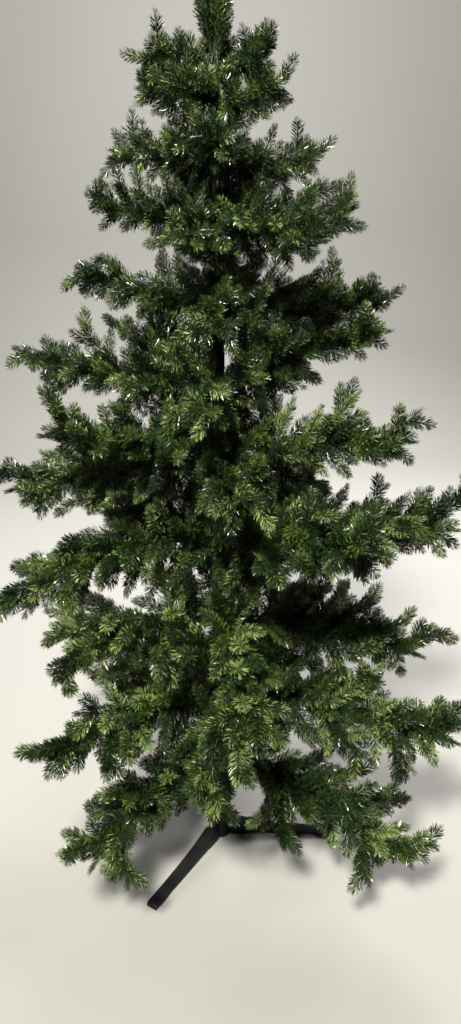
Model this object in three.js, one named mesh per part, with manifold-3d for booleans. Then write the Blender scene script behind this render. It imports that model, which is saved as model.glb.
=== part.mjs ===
// An artificial christmas tree: a steel pole in a three-legged plastic stand, with boughs of
// twisted wire and plastic needles. Millimetres, +Z up. The origin is the middle of the stand's
// flat underside, -Y is the front, and +X is the right as seen from the front.

import * as THREE from "three";
import { mergeVertices } from "three/addons/utils/BufferGeometryUtils.js";
import Module from "manifold-3d";

const wasm = await Module();
wasm.setup();

// Driving dimensions
const GAP = 0.3; // between pieces that touch
const TREE_HEIGHT = 1800;
const LEAN = THREE.MathUtils.degToRad(1.3); // of the pole in its loose socket, towards +X
const UP = new THREE.Vector3(0, 0, 1);

const HUB = { radius: 26, rim: 29, rimHeight: 14, bevel: 2, bore: 20, height: 150, floor: 6, sides: 24 };

// The legs lie 120 degrees apart. A leg is an arched bar that rests on its inner end and its foot.
const LEG = {
  azimuths: [-3.6, 116.4, 236.4],
  reach: 272,
  width: 27,
  inner: 16,
  heel: 62,
  foot: 40,
  arch: 5,
  rootHeight: 36,
  shoulder: 42,
  slope: 117,
  tipHeight: 10,
  tipBevel: 4,
};

// The pole is three tubes, one plugged into the next. The boughs of a tier hook into one collar.
const POLE = {
  sides: 16,
  sections: [
    { top: 655, radius: 15.5 },
    { top: 1315, radius: 14 },
    { top: 1690, radius: 7 },
  ],
  sleeve: { length: 46, extra: 2 },
  collar: { height: 22, radius: 20 },
  bevel: 2,
};

// The tiers of boughs, from the foot to the top, each with the bare length of its stems. Where
// that wire is a limb of its own, limb is true. A bough is given by its azimuth in degrees
// (0 is +X, -90 the front), how far its tip reaches from the pole, how far the tip rises above the
// root, how far the stem bends from its chord in degrees (over 0 it arches), and the lift of
// its twigs (under 0 they droop). In the top tube, boughs start above and below their tier in turn.
const TIERS = [
  {
    height: 235,
    bare: 100,
    limb: true,
    boughs: [
      [231, 405, -40, 28, -0.1],
      [-36, 480, -68, 20, -0.1],
      [98, 500, -60, 18, -0.1],
    ],
  },
  {
    height: 400,
    bare: 90,
    limb: true,
    boughs: [
      [218, 418, 15, 14, -0.35],
      [-20, 530, -15, 10, -0.1],
      [48, 530, -10, 15, -0.1],
      [142, 530, -10, 15, -0.1],
      [-97, 290, -75, 20, -0.3],
    ],
  },
  {
    height: 595,
    bare: 70,
    boughs: [
      [-3, 448, -95, 6, 0.2],
      [-86, 400, -115, 28, -0.5],
      [212, 370, 0, 20, -0.7],
      [95, 520, 0, 15, -0.1],
    ],
  },
  {
    height: 765,
    bare: 70,
    boughs: [
      [3, 515, 15, 8, 0],
      [203, 430, -62, 24, -0.8],
      [-48, 410, 100, 6, 0.1],
      [58, 470, 20, 10, 0],
      [136, 490, 20, 10, 0],
    ],
  },
  {
    height: 945,
    bare: 60,
    boughs: [
      [-14, 385, 62, 8, 0],
      [192, 415, -35, 10, -0.1],
      [-86, 300, -15, 15, -0.2],
      [219, 380, 112, 8, 0],
      [96, 440, 60, 0, 0.1],
    ],
  },
  {
    height: 1105,
    bare: 40,
    boughs: [
      [184, 362, 62, -8, 0],
      [-12, 325, 105, 8, 0.15],
      [-95, 270, -20, 8, 0],
      [52, 350, 60, 0, 0.2],
      [128, 350, 60, 0, 0.2],
    ],
  },
  {
    height: 1250,
    bare: 30,
    boughs: [
      [178, 260, 65, -4, -0.9],
      [0, 322, 15, -6, 0.6],
      [-92, 200, -25, 5, 0.1],
      [88, 330, 30, 0, 0.2],
    ],
  },
  {
    height: 1400,
    bare: 8,
    stagger: 14,
    boughs: [
      [190, 220, 15, -12, 0.15],
      [256, 195, -10, -8, 0.1],
      [-52, 275, -50, -8, 0.15],
      [-8, 250, 35, -12, 0.2],
      [91, 240, 60, -8, 0.3],
    ],
  },
  {
    height: 1500,
    bare: 8,
    stagger: 14,
    boughs: [
      [178, 190, 5, -8, 0.1],
      [0, 185, 18, -4, 0],
      [-90, 150, 5, -5, 0.1],
      [92, 185, 40, -8, 0.3],
    ],
  },
  {
    height: 1585,
    bare: 8,
    stagger: 14,
    boughs: [
      [168, 140, 20, -8, 0.2],
      [-28, 120, 40, -5, 0.2],
      [-118, 105, 0, -5, 0.2],
    ],
  },
  {
    height: 1655,
    bare: 8,
    stagger: 10,
    boughs: [
      [184, 112, -5, -8, 0.1],
      [-5, 90, 20, -8, 0.15],
      [85, 110, 0, -8, 0.3],
    ],
  },
];

const LIMB = { root: 8, tip: 5, sides: 8 };
const STEM_STEPS = 12;
const TWIG_STEPS = 5;

// A brush is a wired core that teeth of needles stand out of, leaning to its tip. The teeth of a
// longer bough reach further. A twig's teeth start a little way from the stem.
const BRUSH = {
  reach: 24,
  reachShare: 0.04,
  least: 6.5,
  core: 5,
  root: 4,
  pitch: 38,
  taper: 0.35,
  lead: 14,
  faces: 4,
  twigStart: 36,
};

// What the needles of a mass keep clear of, and how closely the lines of the others are sampled
const CLEAR = { floor: 8, needles: 1, sampling: 10 };

// The rule by which a stem branches, as shares of its length and degrees from its direction
const TWIGS = {
  seed: 7919,
  sweep: 14,
  fewest: 4,
  most: 6,
  spacing: 68,
  base: 28,
  share: 0.33,
  first: 0.12,
  last: 0.9,
  jitter: 0.02,
  taper: 0.4,
  vary: [0.85, 1.1],
  spread: [32, 52],
  roll: [-30, 40],
  upright: [50, 110],
  upwardEvery: 3,
  liftVary: 0.15,
};

// The leader's twigs stand round it, each turned from the last by the same angle.
const LEADER = {
  seed: 104729,
  twigs: 5,
  first: 0.05,
  step: 0.1,
  turn: 137.5,
  spread: [38, 50],
  length: [44, 58],
  lift: 0.3,
};

const COLOURS = {
  stand: 0x111214,
  pole: 0x16211a,
  wire: 0x1d2b1f,
  needles: [0x2c4a2a, 0x35562c, 0x27422a, 0x45632f],
};

// Small helpers
const radians = THREE.MathUtils.degToRad;

// Even draws from a seed, the same on every run
function chance(seed) {
  let state = seed >>> 0;
  return (low, high) => {
    state = (Math.imul(state, 1664525) + 1013904223) >>> 0;
    return low + ((high - low) * state) / 4294967296;
  };
}

function material(color, roughness, metalness = 0) {
  return new THREE.MeshStandardMaterial({ color, roughness, metalness });
}

function named(name, geometry, paint) {
  const mesh = new THREE.Mesh(geometry, paint);
  mesh.name = name;
  return mesh;
}

function solidFrom(vertProperties, triVerts) {
  return new wasm.Manifold(new wasm.Mesh({ numProp: 3, vertProperties, triVerts }));
}

function solidOf(geometry) {
  const bare = geometry.clone();
  bare.deleteAttribute("normal");
  bare.deleteAttribute("uv");
  const { attributes, index } = mergeVertices(bare, 1e-4);
  return solidFrom(new Float32Array(attributes.position.array), new Uint32Array(index.array));
}

function geometryOf(solid) {
  const { vertProperties, triVerts } = solid.getMesh();
  const geometry = new THREE.BufferGeometry();
  geometry.setAttribute("position", new THREE.BufferAttribute(vertProperties, 3));
  geometry.setIndex(new THREE.BufferAttribute(triVerts, 1));
  return geometry;
}

// A turned piece about +Z, from its radius and height pairs
function turned(profile, sides) {
  const points = profile.map(([radius, height]) => new THREE.Vector2(radius, height));
  return new THREE.LatheGeometry(points, sides).rotateX(Math.PI / 2);
}

// The stand
function hubGeometry() {
  const { radius, rim, rimHeight, bevel, bore, height, floor, sides } = HUB;
  const profile = [
    [0, 0],
    [radius, 0],
    [radius, height - rimHeight],
    [rim, height - rimHeight + rim - radius],
    [rim, height - bevel],
    [rim - bevel, height],
    [bore, height],
    [bore, floor],
    [0, floor],
  ];
  return turned(profile, sides);
}

function legGeometry() {
  const { reach, width, inner, heel, foot, arch, rootHeight, shoulder, slope, tipHeight, tipBevel } = LEG;
  const side = new THREE.Shape();
  side.moveTo(inner, 0);
  side.lineTo(heel, 0);
  side.lineTo(heel + 2 * arch, arch);
  side.lineTo(reach - foot - 2 * arch, arch);
  side.lineTo(reach - foot, 0);
  side.lineTo(reach, 0);
  side.lineTo(reach, tipHeight - tipBevel);
  side.lineTo(reach - tipBevel, tipHeight);
  side.quadraticCurveTo(slope, tipHeight + 2, shoulder, rootHeight);
  side.lineTo(inner, rootHeight);
  side.closePath();
  const bar = new THREE.ExtrudeGeometry(side, { depth: width, bevelEnabled: false, curveSegments: 8 });
  bar.translate(0, 0, -width / 2).rotateX(Math.PI / 2);
  const seat = HUB.radius + GAP;
  const below = -1;
  const above = rootHeight + 1;
  const cutter = turned([[0, below], [seat, below], [seat, above], [0, above]], HUB.sides);
  return geometryOf(solidOf(bar).subtract(solidOf(cutter)));
}

function stand() {
  const group = new THREE.Group();
  const plastic = material(COLOURS.stand, 0.5);
  group.add(named("stand_hub", hubGeometry(), plastic));
  const bar = legGeometry();
  LEG.azimuths.forEach((azimuth, index) => {
    const leg = named(`stand_leg_${index + 1}`, bar, plastic);
    leg.rotation.z = radians(azimuth);
    group.add(leg);
  });
  return group;
}

// The pole, with a sleeve where two tubes join and a collar at each tier of the lower two tubes
function poleGeometry() {
  const { sections, sleeve, collar, bevel, sides } = POLE;
  const foot = HUB.floor + GAP + sections[0].radius * Math.sin(LEAN);
  const profile = [[0, foot], [sections[0].radius, foot]];
  let base = foot;
  sections.forEach(({ top, radius }, index) => {
    const hooked = TIERS.filter(({ height }) => index < 2 && height > base && height < top);
    hooked.forEach(({ height }) => {
      const low = height - collar.height / 2;
      const high = height + collar.height / 2;
      profile.push([radius, low], [collar.radius, low + bevel]);
      profile.push([collar.radius, high - bevel], [radius, high]);
    });
    const next = sections[index + 1];
    if (next) {
      const wide = radius + sleeve.extra;
      profile.push([radius, top - sleeve.length], [wide, top - sleeve.length + bevel]);
      profile.push([wide, top - bevel], [next.radius, top]);
    } else {
      profile.push([radius, top], [0, top]);
    }
    base = top;
  });
  return turned(profile, sides);
}

// The radius of what a bough's root meets at a height: a collar, or the top tube itself
function poleReach(height) {
  if (height < POLE.sections[1].top) return POLE.collar.radius;
  return POLE.sections[2].radius;
}

// Two directions square to a third and to each other, the second as upright as can be
function crossways(along) {
  const reference = Math.abs(along.z) > 0.95 ? new THREE.Vector3(1, 0, 0) : UP;
  const level = new THREE.Vector3().crossVectors(along, reference).normalize();
  const upright = new THREE.Vector3().crossVectors(level, along);
  return { level, upright };
}

// A direction spread from another by one angle, on the side that a roll about it gives
function stray(along, spread, roll) {
  const { level, upright } = crossways(along);
  return along.clone().multiplyScalar(Math.cos(spread))
    .addScaledVector(level, Math.cos(roll) * Math.sin(spread))
    .addScaledVector(upright, Math.sin(roll) * Math.sin(spread));
}

// How far a stem moves out along its azimuth until its cut end lies one gap from the pole
function seatShift(points, radius, height) {
  const along = points[1].clone().sub(points[0]).normalize();
  const { level, upright } = crossways(along);
  const distances = Array.from({ length: 8 }, (_, corner) => {
    const angle = (Math.PI * corner) / 4;
    const place = points[0].clone()
      .addScaledVector(level, radius * Math.cos(angle))
      .addScaledVector(upright, radius * Math.sin(angle));
    return Math.hypot(place.x, place.y);
  });
  return poleReach(height) + GAP - Math.min(...distances);
}

// A bough's stem is a wire bent in one even arc, with a slight sweep to one side.
function stemPoints({ height, azimuth, reach, rise, bend, limb }, sweep) {
  const heading = radians(azimuth);
  const out = new THREE.Vector3(Math.cos(heading), Math.sin(heading), 0);
  const side = new THREE.Vector3(-Math.sin(heading), Math.cos(heading), 0);
  const chord = out.clone().multiplyScalar(reach - poleReach(height)).addScaledVector(UP, rise);
  const along = chord.clone().normalize();
  const length = chord.length();
  const angle = radians(bend) + 1e-6;
  const turn = radians(sweep) + 1e-6;
  const root = out.clone().multiplyScalar(poleReach(height) + GAP).addScaledVector(UP, height);
  const normal = new THREE.Vector3().crossVectors(along, side);
  const points = [];
  for (let step = 0; step <= STEM_STEPS; step += 1) {
    const share = step / STEM_STEPS;
    const bent = angle * (1 - 2 * share);
    const swept = turn * (1 - 2 * share);
    const run = (Math.sin(angle) - Math.sin(bent)) / (2 * Math.sin(angle));
    const arch = (Math.cos(bent) - Math.cos(angle)) / (2 * Math.sin(angle));
    const drift = (Math.cos(swept) - Math.cos(turn)) / (2 * Math.sin(turn));
    points.push(
      root.clone()
        .addScaledVector(along, length * run)
        .addScaledVector(normal, length * arch)
        .addScaledVector(side, length * drift),
    );
  }
  const shift = seatShift(points, limb ? LIMB.root : BRUSH.root, height);
  return points.map((point) => point.addScaledVector(out, shift));
}

// A twig keeps its direction while its lift turns it up or down.
function twigPoints(start, direction, length, lift) {
  const points = [start.clone()];
  for (let step = 0; step < TWIG_STEPS; step += 1) {
    const heading = direction.clone().addScaledVector(UP, (lift * (step + 0.5)) / TWIG_STEPS).normalize();
    points.push(points[step].clone().addScaledVector(heading, length / TWIG_STEPS));
  }
  return points;
}

// The place and the direction at a share of the way along evenly spaced points
function alongPoints(points, share) {
  const last = points.length - 1;
  const position = Math.min(Math.max(share, 0), 0.9999) * last;
  const index = Math.floor(position);
  const step = points[index + 1].clone().sub(points[index]);
  return {
    place: points[index].clone().addScaledVector(step, position - index),
    along: step.clone().normalize(),
  };
}

// The part of a line of points between two shares of its length
function stretch(points, from, to) {
  const last = points.length - 1;
  const first = alongPoints(points, from).place;
  const inner = points.filter((_, index) => index / last > from + 0.02 && index / last < to - 0.02);
  return [first, ...inner, alongPoints(points, to).place];
}

// One bough's lines: its bare limb where it has one, its needled stem, and its twigs, which leave
// the stem to the left and right in turn, every third one upwards.
function growBough(bough, index) {
  const draw = chance(TWIGS.seed * (index + 1));
  const stem = stemPoints(bough, draw(-TWIGS.sweep, TWIGS.sweep));
  const bare = bough.bare / bough.reach;
  const wanted = Math.round(bough.reach / TWIGS.spacing);
  const count = Math.min(TWIGS.most, Math.max(TWIGS.fewest, wanted));
  const longest = TWIGS.base + TWIGS.share * bough.reach;
  const first = Math.max(bare, TWIGS.first);
  let side = index % 2 ? 1 : -1;
  const twigs = [];
  for (let number = 0; number < count; number += 1) {
    const even = first + ((TWIGS.last - first) * (number + 0.5)) / count;
    const share = even + draw(-TWIGS.jitter, TWIGS.jitter);
    const { place, along } = alongPoints(stem, share);
    const sideways = radians(draw(...TWIGS.roll));
    const upwards = radians(draw(...TWIGS.upright));
    const roll = (number + 1) % TWIGS.upwardEvery === 0 ? upwards : sideways;
    const spread = radians(draw(...TWIGS.spread));
    const heading = stray(along, spread, side > 0 ? roll : Math.PI - roll);
    const length = longest * (1 - TWIGS.taper * share) * draw(...TWIGS.vary);
    const lift = bough.lift + draw(-TWIGS.liftVary, TWIGS.liftVary);
    twigs.push({ share, points: twigPoints(place, heading, length, lift) });
    side = -side;
  }
  const teeth = BRUSH.reach + BRUSH.reachShare * bough.reach;
  if (!bough.limb) return { stem, start: bough.bare, twigs, teeth };
  const limb = stretch(stem, 0, bare);
  return { limb, stem: stretch(stem, bare + GAP / bough.reach, 1), start: 0, twigs, teeth };
}

// The leader stands on the pole's tip, with its twigs turned round it.
function growLeader() {
  const draw = chance(LEADER.seed);
  const foot = new THREE.Vector3(0, 0, POLE.sections[2].top + GAP);
  const length = TREE_HEIGHT - foot.z;
  const stem = twigPoints(foot, UP, length, 0);
  const twigs = [];
  for (let number = 0; number < LEADER.twigs; number += 1) {
    const share = LEADER.first + LEADER.step * number;
    const { place, along } = alongPoints(stem, share);
    const heading = stray(along, radians(draw(...LEADER.spread)), radians(LEADER.turn * number));
    twigs.push({ share, points: twigPoints(place, heading, draw(...LEADER.length), LEADER.lift) });
  }
  return { stem, start: 0, twigs, teeth: BRUSH.reach };
}

// Room: how far from a place the needles of one mass may reach before they meet another mass,
// a limb, the pole or the floor
function samplesOf(points, owner, radius, share) {
  const samples = [];
  for (let index = 0; index < points.length - 1; index += 1) {
    const length = points[index].distanceTo(points[index + 1]);
    const count = Math.ceil(length / CLEAR.sampling);
    for (let part = 0; part <= count; part += 1) {
      const place = points[index].clone().lerp(points[index + 1], part / count);
      samples.push({ place, owner, radius, share });
    }
  }
  return samples;
}

function roomAt(place, owner, samples) {
  let room = place.z * Math.cos(LEAN) - place.x * Math.sin(LEAN) - CLEAR.floor;
  if (place.z < POLE.sections[2].top + BRUSH.reach && owner !== "leader") {
    room = Math.min(room, Math.hypot(place.x, place.y) - poleReach(place.z) - CLEAR.needles);
  }
  for (const sample of samples) {
    const distance = sample.place.distanceTo(place);
    room = Math.min(room, (distance - sample.radius) * sample.share - CLEAR.needles);
  }
  return room;
}

// A brush round a line of points. Each ring has a tooth at every second corner, and the next ring
// is turned by one corner. The brush ends where it has no more room.
function brushSolid(points, start, teeth, owner, samples) {
  const steps = points.slice(1).map((point, index) => point.distanceTo(points[index]));
  const length = steps.reduce((sum, step) => sum + step, 0);
  const rings = Math.max(2, Math.round((length - start) / BRUSH.pitch));
  const shareOf = (ring) => (start + ((length - start) * ring) / rings) / length;
  const vertices = [];
  const faces = [];
  let across = null;
  const ringAt = (share, radiusOf, shiftOf) => {
    const { place, along } = alongPoints(points, share);
    if (!across) across = crossways(along).level;
    across.addScaledVector(along, -across.dot(along)).normalize();
    const over = new THREE.Vector3().crossVectors(along, across);
    for (let corner = 0; corner < BRUSH.faces; corner += 1) {
      const angle = (2 * Math.PI * corner) / BRUSH.faces;
      const radius = radiusOf(corner);
      const vertex = place.clone()
        .addScaledVector(across, radius * Math.cos(angle))
        .addScaledVector(over, radius * Math.sin(angle))
        .addScaledVector(along, shiftOf(corner));
      vertices.push(vertex.x, vertex.y, vertex.z);
    }
  };
  ringAt(0, () => BRUSH.root, () => 0);
  let made = 0;
  let end = 0;
  for (let ring = 0; ring < rings; ring += 1) {
    const share = shareOf(ring + 0.5);
    const { place, along } = alongPoints(points, share);
    const middle = place.clone().addScaledVector(along, BRUSH.lead);
    const room = Math.min(roomAt(place, owner, samples), roomAt(middle, owner, samples));
    if (room < BRUSH.least) break;
    const reach = Math.min(teeth * (1 - BRUSH.taper * share), room);
    const isTooth = (corner) => (corner + ring) % 2 === 0;
    const radiusOf = (corner) => (isTooth(corner) ? reach : BRUSH.core);
    const shiftOf = (corner) => (isTooth(corner) ? BRUSH.lead : 0);
    ringAt(share, radiusOf, shiftOf);
    made += 1;
    end = shareOf(ring + 1);
  }
  if (made < 2) return null;
  const tip = alongPoints(points, end);
  const apex = vertices.length / 3;
  vertices.push(tip.place.x, tip.place.y, tip.place.z);
  const root = apex + 1;
  const foot = alongPoints(points, 0).place;
  vertices.push(foot.x, foot.y, foot.z);
  for (let corner = 0; corner < BRUSH.faces; corner += 1) {
    const next = (corner + 1) % BRUSH.faces;
    faces.push(root, next, corner);
    for (let ring = 0; ring < made; ring += 1) {
      const low = ring * BRUSH.faces;
      const high = low + BRUSH.faces;
      const split = ring > 0 && (corner + ring - 1) % 2 === 0;
      if (split) {
        faces.push(low + corner, low + next, high + corner);
        faces.push(low + next, high + next, high + corner);
      } else {
        faces.push(low + corner, low + next, high + next);
        faces.push(low + corner, high + next, high + corner);
      }
    }
    faces.push(made * BRUSH.faces + corner, made * BRUSH.faces + next, apex);
  }
  return { solid: solidFrom(new Float32Array(vertices), new Uint32Array(faces)), end };
}

// A hollow that joining seals and a scrap that it leaves loose are dropped.
function oneBody(solid) {
  return solid.decompose().reduce((best, body) => (body.volume() > best.volume() ? body : best));
}

// A mass is its stem's brush with a brush for each twig fused to it.
function foliageGeometry(grown, owner, samples) {
  const stem = brushSolid(grown.stem, grown.start, grown.teeth, owner, samples);
  const brushes = grown.twigs
    .filter(({ share }) => share < stem.end)
    .map(({ points }) => brushSolid(points, BRUSH.twigStart, grown.teeth, owner, samples))
    .filter((brush) => brush !== null)
    .map(({ solid }) => solid);
  return geometryOf(oneBody(brushes.reduce((sum, brush) => sum.add(brush), stem.solid)));
}

// A limb tapers from its root at the collar to the tip that carries the needled stem.
function limbGeometry(points) {
  const vertices = [];
  const faces = [];
  const last = points.length - 1;
  points.forEach((point, index) => {
    const ahead = points[Math.min(index + 1, last)];
    const behind = points[Math.max(index - 1, 0)];
    const along = ahead.clone().sub(behind).normalize();
    const { level, upright } = crossways(along);
    const radius = LIMB.root + ((LIMB.tip - LIMB.root) * index) / last;
    for (let corner = 0; corner < LIMB.sides; corner += 1) {
      const angle = (2 * Math.PI * corner) / LIMB.sides;
      const vertex = point.clone()
        .addScaledVector(level, radius * Math.cos(angle))
        .addScaledVector(upright, radius * Math.sin(angle));
      vertices.push(vertex.x, vertex.y, vertex.z);
    }
  });
  for (let corner = 0; corner < LIMB.sides; corner += 1) {
    const next = (corner + 1) % LIMB.sides;
    for (let index = 0; index < last; index += 1) {
      const low = index * LIMB.sides;
      const high = low + LIMB.sides;
      faces.push(low + corner, high + corner, high + next);
      faces.push(low + corner, high + next, low + next);
    }
    if (corner > 0 && next > 0) {
      faces.push(0, corner, next);
      faces.push(last * LIMB.sides, last * LIMB.sides + next, last * LIMB.sides + corner);
    }
  }
  return geometryOf(solidFrom(new Float32Array(vertices), new Uint32Array(faces)));
}

// Every bough, with a name of its own
function boughsOf(tiers) {
  return tiers.flatMap(({ height, bare, limb, stagger = 0, boughs: rows }, tier) =>
    rows.map(([azimuth, reach, rise, bend, lift], number) => ({
      name: `tier_${tier + 1}_${number + 1}`,
      height: height + (number % 2 ? -stagger : stagger),
      bare, limb, azimuth, reach, rise, bend, lift,
    })));
}

function crown() {
  const boughs = boughsOf(TIERS);
  const grown = boughs.map((bough, index) => ({ name: bough.name, ...growBough(bough, index) }));
  grown.push({ name: "leader", ...growLeader() });
  const samples = grown.flatMap(({ name, limb, stem, twigs }) => [
    ...(limb ? samplesOf(limb, `${name}_limb`, LIMB.root, 1) : []),
    ...samplesOf(stem, name, 0, 0.5),
    ...twigs.flatMap(({ points }) => samplesOf(points, name, 0, 0.5)),
  ]);
  const group = new THREE.Group();
  const wire = material(COLOURS.wire, 0.6, 0.2);
  grown.forEach((bough, index) => {
    const { name, limb } = bough;
    const green = material(COLOURS.needles[index % COLOURS.needles.length], 0.7);
    const others = samples.filter(({ owner }) => owner !== name && owner !== `${name}_limb`);
    if (limb) group.add(named(`${name}_bough`, limbGeometry(limb), wire));
    group.add(named(`${name}_foliage`, foliageGeometry(bough, name, others), green));
  });
  return group;
}

// The pole and the crown lean together about the foot of the pole.
const leaning = new THREE.Group();
leaning.rotation.y = LEAN;
leaning.add(named("pole", poleGeometry(), material(COLOURS.pole, 0.45, 0.3)));
leaning.add(crown());

const tree = new THREE.Group();
tree.add(stand(), leaning);

export default tree;
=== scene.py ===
# %% [markdown]
# # An artificial christmas tree
#
# A steel pole stands in a three-legged plastic stand. Boughs of twisted wire hook into collars on
# the pole, and each bough carries side twigs that are thick with plastic needles. This lesson
# dresses the plain solids of that tree: it grows the boughs on to finer twigs, clothes them in
# needles, and gives pole, collars and stand their real surface.
#
# Lengths are given in millimetres, as a maker would, and become metres where a mesh is made.

from math import ceil, cos, floor, hypot, pi, radians, sin

import bmesh
import bpy
from mathutils import Matrix, Vector


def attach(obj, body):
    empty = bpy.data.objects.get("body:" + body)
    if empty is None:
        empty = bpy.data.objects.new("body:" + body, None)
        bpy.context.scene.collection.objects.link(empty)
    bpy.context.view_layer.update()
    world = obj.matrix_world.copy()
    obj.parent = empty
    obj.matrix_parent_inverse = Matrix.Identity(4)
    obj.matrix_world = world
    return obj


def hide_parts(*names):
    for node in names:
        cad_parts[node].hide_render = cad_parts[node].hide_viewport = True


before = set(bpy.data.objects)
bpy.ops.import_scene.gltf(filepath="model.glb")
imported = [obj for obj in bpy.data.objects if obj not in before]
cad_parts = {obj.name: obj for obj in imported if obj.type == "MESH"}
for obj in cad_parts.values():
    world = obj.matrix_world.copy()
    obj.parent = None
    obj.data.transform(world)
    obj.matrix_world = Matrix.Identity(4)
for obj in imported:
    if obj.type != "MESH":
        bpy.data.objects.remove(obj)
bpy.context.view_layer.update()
MM = 0.001

# %% [markdown]
# ## The camera
#
# The picture was taken from close by with a wide lens, held at eye height and pointed down, with
# the top of the tree just outside the frame. A camera can be aimed with angles or with a tracking
# constraint. Here it gets a matrix made of its three directions, because then the tilt and the
# slight roll of the hand are two plain numbers.

# %% Camera
EYE = Vector((44, -1455, 1357)) * MM
PITCH = radians(19.8)
ROLL = radians(1.46)
FOCAL_PIXELS = 740
PICTURE_HEIGHT = 1024
SENSOR = 36


def in_scene(name, data):
    made = bpy.data.objects.new(name, data)
    bpy.context.scene.collection.objects.link(made)
    return made


forward = Vector((0, cos(PITCH), -sin(PITCH)))
level_down = Vector((0, -sin(PITCH), -cos(PITCH)))
across = Vector((1, 0, 0)) * cos(ROLL) + level_down * sin(ROLL)
down = level_down * cos(ROLL) - Vector((1, 0, 0)) * sin(ROLL)

camera = in_scene("camera", bpy.data.cameras.new("camera"))
camera.data.sensor_width = SENSOR
camera.data.lens = SENSOR * FOCAL_PIXELS / PICTURE_HEIGHT
camera.data.clip_end = 50
aim = Matrix((across, -down, -forward)).transposed()
camera.matrix_world = Matrix.Translation(EYE) @ aim.to_4x4()
bpy.context.scene.camera = camera
print("camera: lens", round(camera.data.lens, 2), "mm, eye at", tuple(round(n, 3) for n in EYE))

# %% [markdown]
# ## Finishes
#
# Four things are to be seen: black moulded plastic, dark green paint on a steel tube, green wire,
# and needles cut from plastic film. An image could colour them, but node materials stay sharp at
# every distance. Paint and plastic get a fine grain from noise in object coordinates. The needles
# get plain greens, one for each piece, because a pattern would be lost on so narrow a strip: what
# the eye reads as mottled green is many sprays of slightly different film.
#
# Finishes and node trees are easier to read when each node is made in one call. The helper takes
# the node's kind, its settings, and what goes into its sockets: a number, or another node's output.


# %% Make a node
def node(tree, kind, sockets, **settings):
    made = tree.nodes.new(kind)
    for name, value in settings.items():
        setattr(made, name, value)
    for socket, value in sockets.items():
        if isinstance(value, bpy.types.NodeSocket):
            tree.links.new(value, made.inputs[socket])
        else:
            made.inputs[socket].default_value = value
    return made.outputs


# %% A finish and its grain
def new_finish(name, colour, roughness, metallic=0.0, shine=0.5):
    """Shine is how much light the surface throws straight back, 0.5 being plain plastic."""
    finish = bpy.data.materials.new(name)
    finish.use_nodes = True
    values = {
        "Base Color": (*colour, 1), "Roughness": roughness, "Metallic": metallic,
        "Specular IOR Level": shine,
    }
    for label, value in values.items():
        finish.node_tree.nodes["Principled BSDF"].inputs[label].default_value = value
    return finish


def noise(tree, scale, detail):
    place = node(tree, "ShaderNodeTexCoord", {})["Object"]
    sockets = {"Vector": place, "Scale": scale, "Detail": detail}
    return node(tree, "ShaderNodeTexNoise", sockets)["Fac"]


def drive(tree, label, value):
    tree.links.new(value, tree.nodes["Principled BSDF"].inputs[label])


def add_grain(finish, scale, depth, detail=4):
    """A fine bump, depth in metres."""
    tree = finish.node_tree
    sockets = {"Height": noise(tree, scale, detail), "Distance": depth}
    drive(tree, "Normal", node(tree, "ShaderNodeBump", sockets)["Normal"])


def add_wear(finish, scale, dark, light, rough_low, rough_high, detail=6, stops=(0.35, 0.7)):
    """Dull and polished patches that change the colour and the gloss together."""
    tree = finish.node_tree
    patches = noise(tree, scale, detail)
    ramp = tree.nodes.new("ShaderNodeValToRGB")
    for stop, position, colour in zip(ramp.color_ramp.elements, stops, (dark, light)):
        stop.position = position
        stop.color = (*colour, 1)
    tree.links.new(patches, ramp.inputs["Fac"])
    drive(tree, "Base Color", ramp.outputs["Color"])
    sockets = {"Value": patches, "To Min": rough_low, "To Max": rough_high}
    drive(tree, "Roughness", node(tree, "ShaderNodeMapRange", sockets)["Result"])


# %% The finishes of the stand, the pole and the wire
stand_plastic = new_finish("stand_plastic", (0.005, 0.005, 0.006), 0.5, shine=0.2)
add_wear(stand_plastic, 26, (0.003, 0.003, 0.004), (0.007, 0.007, 0.008), 0.42, 0.62)
add_grain(stand_plastic, 900, 0.00012)

pole_paint = new_finish("pole_paint", (0.005, 0.010, 0.005), 0.7, shine=0.15)
add_wear(pole_paint, 18, (0.004, 0.008, 0.004), (0.007, 0.013, 0.006), 0.6, 0.8)
add_grain(pole_paint, 350, 0.00006)

bough_wire = new_finish("bough_wire", (0.012, 0.022, 0.013), 0.45, 0.3)
add_wear(bough_wire, 60, (0.010, 0.018, 0.010), (0.026, 0.040, 0.022), 0.35, 0.6)

# %% [markdown]
# The film of the needles comes in a run of greens, from a near black, which is painted shade for the
# inner sprays, to the yellow-green of the tips. Light film shines more than dark film.

# %% The greens of the needles
GREENS = {
    # needles_deep and needles_blue are near black: painted shade for the inner sprays.
    "needles_deep": {"colour": (0.003, 0.006, 0.002), "shine": 0.35},
    "needles_blue": {"colour": (0.004, 0.012, 0.004), "shine": 0.45},
    "needles_pine": {"colour": (0.011, 0.018, 0.003), "shine": 0.5},
    "needles_leaf": {"colour": (0.018, 0.038, 0.009), "shine": 0.55},
    "needles_moss": {"colour": (0.046, 0.071, 0.012), "shine": 0.6},
    "needles_fresh": {"colour": (0.126, 0.180, 0.056), "shine": 0.6},
}
NEEDLE_ROUGHNESS = 0.3
needle_film = {
    name: new_finish(name, roughness=NEEDLE_ROUGHNESS, **film) for name, film in GREENS.items()
}
print("needle greens:", ", ".join(needle_film))

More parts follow.
